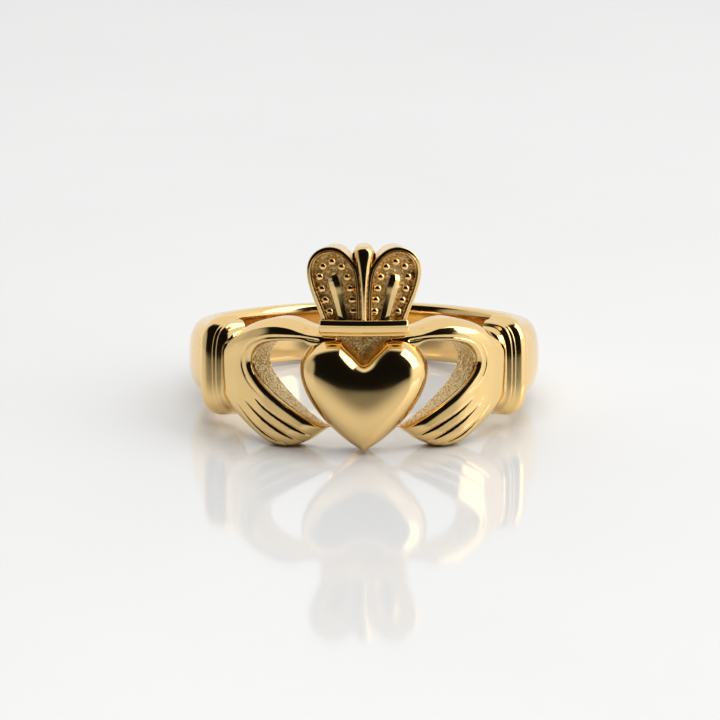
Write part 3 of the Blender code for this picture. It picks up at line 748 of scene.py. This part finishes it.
def makeBud(name):
    rings = []
    turn = np.linspace(0, math.pi, crown["budSides"])
    places = np.linspace(crown["bud"][0][0], crown["bud"][-1][0], crown["budStations"])
    for up, width, crest, web in smoothTable(crown["bud"], places):
        half = width * crown["budWidth"] / 2
        side = max(web, width + crown["webMargin"]) * crown["budWidth"] / 2
        bulge = np.sin(turn) ** crown["budFullness"]
        out = crown["budWall"] + (crest * crown["budCrest"] - crown["budWall"]) * bulge
        across = np.concatenate([(-side, -side), -np.cos(turn) * half, (side, side)])
        out = np.concatenate([(crown["back"], crown["webHeight"]), out, (crown["webHeight"], crown["back"])])
        level = np.full(len(out), crown["low"] + up * crown["height"])
        rings.append(np.stack([across, level, out], axis=1))
    return lofted(name, np.array(rings), sharp=crown["budSharp"])


# Bar under the crown, and the sunk field between the heart's lobes
bar = {
    "half": 2.42, "low": 2.75, "height": 0.72, "out": 2.30, "back": 0.01, "stations": 60, "endRound": 0.12,
    "sharp": 35, "rootOut": 0.5,    # below rootOut the ends keep their height over the hole
    # up, out, as shares
    "profile": ((-0.36, 0.20), (-0.36, 0.50), (-0.36, 0.70), (-0.34, 0.75), (-0.27, 0.79), (-0.18, 0.80),
                (-0.10, 0.78), (-0.05, 0.76), (-0.01, 0.80), (0.0, 0.88), (0.01, 0.93), (0.04, 0.955),
                (0.10, 0.968), (0.30, 0.984), (0.48, 0.998), (0.52, 0.998), (0.55, 0.988), (0.58, 0.974),
                (0.68, 0.957), (0.80, 0.940), (0.92, 0.924), (0.97, 0.916), (1.0, 0.90), (1.0, 0.60),
                (1.0, 0.20)),
}
recess = {"half": 2.66, "low": 0.645, "out": 1.26, "back": 0.012, "stations": 40, "endRound": 0.02}


def alongBar(name, part, profile, cast=None):
    profile = np.array(profile)
    centre = profile.mean(0)
    pull = centre - profile
    pull = pull / np.linalg.norm(pull, axis=1)[:, None]
    pull[:, 1] = np.where(profile[:, 1] > bar["rootOut"], pull[:, 1], 0)
    rings = []
    for place in part["half"] * np.sin(np.linspace(-math.pi / 2, math.pi / 2, part["stations"])):
        edge = np.clip((part["half"] - abs(place)) / part["endRound"], 0, 1)
        shrink = part["endRound"] * (1 - math.sqrt(1 - (1 - edge) ** 2))
        rings.append(np.column_stack([np.full(len(profile), place), profile + pull * shrink]))
    return lofted(name, np.array(rings), cast=cast, sharp=bar["sharp"])


def makeBar(name):
    front = [(bar["low"] + up * bar["height"], out * bar["out"]) for up, out in bar["profile"]]
    profile = [(bar["low"], bar["back"])] + front + [(bar["low"] + bar["height"], bar["back"])]
    return alongBar(name, bar, profile)


def makeRecess(name):
    high = bar["low"] + bar["height"] / 2
    profile = [(recess["low"], recess["back"]), (recess["low"], recess["out"]),
               (high, recess["out"]), (high, recess["back"])]
    return alongBar(name, recess, profile, cast=np.ones(recess["stations"] * len(profile) + 2))


# Beads in two rows that follow the rims: one low dome, set on points by Geometry Nodes
beads = {
    "Diameter": 0.54, "Height": 0.29, "sink": 0.01, "sides": 28, "rings": 16,
    # across, up: down the outer rim of a lobe, then down its inner rim
    "places": ((1.27, 6.41), (1.82, 6.70), (2.34, 6.42), (2.53, 5.83), (2.41, 5.16), (2.20, 4.52),
               (1.95, 3.88), (0.96, 5.84), (0.79, 5.20), (0.68, 4.56), (0.61, 3.92)),
}


def beadTree(material):
    tree = bpy.data.node_groups.new("beadsOnPoints", "GeometryNodeTree")
    tree.interface.new_socket("Geometry", in_out="INPUT", socket_type="NodeSocketGeometry")
    for name in ("Diameter", "Height"):
        tree.interface.new_socket(name, in_out="INPUT", socket_type="NodeSocketFloat")
    tree.interface.new_socket("Geometry", in_out="OUTPUT", socket_type="NodeSocketGeometry")
    kit = Tree(tree)
    inputs = kit.node("NodeGroupInput")
    diameter, height = kit.term(inputs.outputs["Diameter"]), kit.term(inputs.outputs["Height"])
    ball = kit.node("GeometryNodeMeshUVSphere", Segments=beads["sides"], Rings=beads["rings"], Radius=1.0)
    scale = kit.node("ShaderNodeCombineXYZ", at0=diameter * 0.0005, at1=diameter * 0.0005, at2=height * 0.001)
    facing = kit.node("GeometryNodeInputNamedAttribute", {"data_type": "FLOAT_VECTOR"}, Name="outward")
    turn = kit.node("FunctionNodeAlignRotationToVector", {"axis": "Z"},
                    Vector=kit.output(facing, "Attribute"))
    placed = kit.node("GeometryNodeInstanceOnPoints", Points=inputs.outputs["Geometry"],
                      Instance=ball.outputs["Mesh"], Rotation=turn.outputs[0], Scale=scale.outputs[0])
    real = kit.node("GeometryNodeRealizeInstances", Geometry=placed.outputs[0])
    smooth = kit.node("GeometryNodeSetShadeSmooth", Geometry=real.outputs[0])
    finish = kit.node("GeometryNodeSetMaterial", Geometry=smooth.outputs[0], Material=material)
    kit.node("NodeGroupOutput", Geometry=finish.outputs[0])
    return tree


def makeBeads(name, material):
    right = np.array(beads["places"])
    flat = np.vstack([right, right * (-1, 1)])
    level = np.full(len(flat), crown["field"] - beads["sink"])
    points = wrapped(np.column_stack([flat, level]))
    outward = (wrapped(np.column_stack([flat, level + 1])) - points) * 1000
    mesh = bpy.data.meshes.new(name)
    mesh.from_pydata(points.tolist(), [], [])
    attribute = mesh.attributes.new("outward", "FLOAT_VECTOR", "POINT")
    attribute.data.foreach_set("vector", outward.astype(np.float32).ravel())
    return plainMesh(name, beadTree(material), beads, mesh)


print("measures ready")

# Gold: polished where a cloth reaches, matt and pitted where the casting's skin is left
gold = {
    "colour": (0.92, 0.65, 0.285), "castColour": (1.0, 0.82, 0.47), "pitColour": (0.66, 0.45, 0.18),
    "pitStart": 0.38, "pitEnd": 0.56, "roughness": 0.08, "haze": 0.05,
    "castRoughness": 0.32, "wave": 0.000006, "grain": 0.00014,
    # scale and detail
    "hazeNoise": (700.0, 4.0), "waveNoise": (380.0, 1.0), "grainNoise": (7800.0, 1.0), "pitScale": 7000.0,
}


def makeGold(name):
    material = bpy.data.materials.new(name)
    material.use_nodes = True
    kit = Tree(material.node_tree)
    shader = material.node_tree.nodes["Principled BSDF"]
    shader.inputs["Metallic"].default_value = 1.0
    place = kit.node("ShaderNodeTexCoord").outputs["Object"]
    cast = kit.term(kit.node("ShaderNodeAttribute", {"attribute_name": "cast"}).outputs["Fac"])
    haze, wave, grain = (kit.noise(place, *gold[part]) for part in ("hazeNoise", "waveNoise", "grainNoise"))
    cells = kit.node("ShaderNodeTexVoronoi", Vector=place, Scale=gold["pitScale"])
    pits = kit.term(cells.outputs["Distance"])
    rough = kit.mixed(grain.rising(gold["pitStart"], gold["pitEnd"]),
                      gold["pitColour"] + (1.0,), gold["castColour"] + (1.0,))
    kit.plug(shader, "Base Color", kit.mixed(cast, gold["colour"] + (1.0,), rough))
    kit.plug(shader, "Roughness", gold["roughness"] + gold["haze"] * haze + gold["castRoughness"] * cast)
    relief = wave * gold["wave"] + cast * (grain + pits) * gold["grain"]
    bump = kit.node("ShaderNodeBump", Strength=1.0, Distance=1.0, Height=relief)
    kit.plug(shader, "Normal", bump.outputs["Normal"])
    return material


goldMetal = makeGold("gold")
shankPiece = plainMesh("shank", shankTree(goldMetal), shank)
cuffRight = makeCuff("cuff_right")
handRight = makeHand("hand_right")
lobeRight = makeLobe("crown_lobe_right")
spikeRight = makeSpike("crown_spike_right")
pieces = [shankPiece, cuffRight, handRight, lobeRight, spikeRight, makeHeart("heart"), makeBud("crown_bud"),
          makeBar("crown_bar"), makeRecess("crown_recess"), makeBeads("crown_beads", goldMetal)]
for piece in (cuffRight, handRight, lobeRight, spikeRight):
    pieces.append(mirrorPiece(piece, piece.name.replace("right", "left")))
for piece in pieces:
    if not piece.data.materials:
        piece.data.materials.append(goldMetal)
    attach(piece, "root")
    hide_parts("ring")
    corners = np.array([tuple(vertex.co) for vertex in piece.data.vertices]) * 1000
    print(piece.name, len(piece.data.polygons), "faces", corners.min(0).round(3), corners.max(0).round(3))
print("pieces ready")

# Studio: pale glossy floor, a bright room above and behind, a dark one in front, soft boxes
studio = {
    "floorSize": 1.6, "floorColour": (0.76, 0.76, 0.755), "floorRoughness": 0.05, "floorGloss": 1.5,
    "cloudNoise": (26.0, 4.0), "cloudShade": 0.88, "cloudHaze": 0.05,
    # direction, where its glow starts and is full, strength, height at which it ends
    "glows": (((0.0, 0.80, 0.60), 0.38, 0.56, 0.90, 2.0),
              ((0.80, 0.55, 0.25), 0.74, 0.92, 1.0, 0.80),
              ((-0.80, 0.55, 0.25), 0.74, 0.92, 0.60, 0.80),
              ((1.0, -0.10, 0.05), 0.80, 0.95, 1.20, 0.36),
              ((-1.0, -0.05, 0.10), 0.88, 0.97, 0.50, 0.55)),
    "dark": 0.006, "glowFade": 0.12,
    # name, place, aim, size, watts, whether the metal mirrors it
    "boxes": (
        ("overhead", (0.02, 0.12, 0.38), (0.0, 0.0, 0.0), (0.28, 0.20), 0.38, False),
        ("key", (0.344, -0.086, 0.290), (0.0, 0.0, 0.005), (0.26, 0.44), 1.05, True),
        ("fill", (-0.02, -0.22, 0.34), (0.0, 0.0, 0.0), (0.30, 0.20), 0.66, False),
    ),
}


def makeFloor():
    half = studio["floorSize"] / 2
    mesh = bpy.data.meshes.new("floor")
    corners = [(-half, -half, 0), (half, -half, 0), (half, half, 0), (-half, half, 0)]
    mesh.from_pydata(corners, [], [(0, 1, 2, 3)])
    floor = bpy.data.objects.new("floor", mesh)
    bpy.context.scene.collection.objects.link(floor)
    material = bpy.data.materials.new("floor")
    material.use_nodes = True
    kit = Tree(material.node_tree)
    shader = material.node_tree.nodes["Principled BSDF"]
    shader.inputs["IOR"].default_value = studio["floorGloss"]
    place = kit.node("ShaderNodeTexCoord").outputs["Object"]
    cloud = kit.noise(place, *studio["cloudNoise"])
    pale = studio["floorColour"]
    shaded = tuple(studio["cloudShade"] * part for part in pale)
    kit.plug(shader, "Base Color", kit.mixed(cloud, pale + (1.0,), shaded + (1.0,)))
    kit.plug(shader, "Roughness", studio["floorRoughness"] + studio["cloudHaze"] * cloud)
    mesh.materials.append(material)
    return floor


makeFloor()
for name, place, aim, size, watts, mirrored in studio["boxes"]:
    box = bpy.data.lights.new(name, "AREA")
    box.shape = "RECTANGLE"
    box.size, box.size_y = size
    box.energy = watts
    holder = bpy.data.objects.new(name, box)
    holder.location = place
    holder.visible_glossy = mirrored
    holder.rotation_euler = (Vector(place) - Vector(aim)).to_track_quat("Z", "Y").to_euler()
    bpy.context.scene.collection.objects.link(holder)
world = bpy.data.worlds.new("studio")
world.use_nodes = True
kit = Tree(world.node_tree)
direction = kit.node("ShaderNodeSeparateXYZ", Vector=kit.node("ShaderNodeTexCoord").outputs["Generated"])
east, north, high = (kit.term(socket) for socket in direction.outputs)
light = studio["dark"]
for towards, start, full, strength, ceiling in studio["glows"]:
    length = math.sqrt(sum(part * part for part in towards))
    facing = (east * towards[0] + north * towards[1] + high * towards[2]) / length
    below = 1.0 - high.rising(ceiling - studio["glowFade"], ceiling)
    glow = facing.rising(start, full) * below * strength
    light = glow.math("MAXIMUM", light)
kit.plug(world.node_tree.nodes["Background"], "Strength", light)
world.node_tree.nodes["Background"].inputs["Color"].default_value = (1.0, 1.0, 1.0, 1.0)
bpy.context.scene.world = world
bpy.context.scene.view_settings.view_transform = "Standard"

# Camera: low in front of the heart
view = {
    "distance": 0.200, "elevation": 16.24, "lens": 169.0, "sensor": 36.0, "nearest": 0.005,
    "shift": (-4 / 720, -7.5 / 720),
}
elevation = math.radians(view["elevation"])
sight = Vector((0, -math.cos(elevation), math.sin(elevation)))
camera = bpy.data.objects.new("camera", bpy.data.cameras.new("camera"))
camera.location = ringCentre + sight * view["distance"]
camera.rotation_euler = sight.to_track_quat("Z", "Y").to_euler()
camera.data.lens = view["lens"]
camera.data.sensor_width = view["sensor"]
camera.data.clip_start = view["nearest"]
camera.data.shift_x, camera.data.shift_y = view["shift"]
bpy.context.scene.collection.objects.link(camera)
bpy.context.scene.camera = camera
print("studio ready")
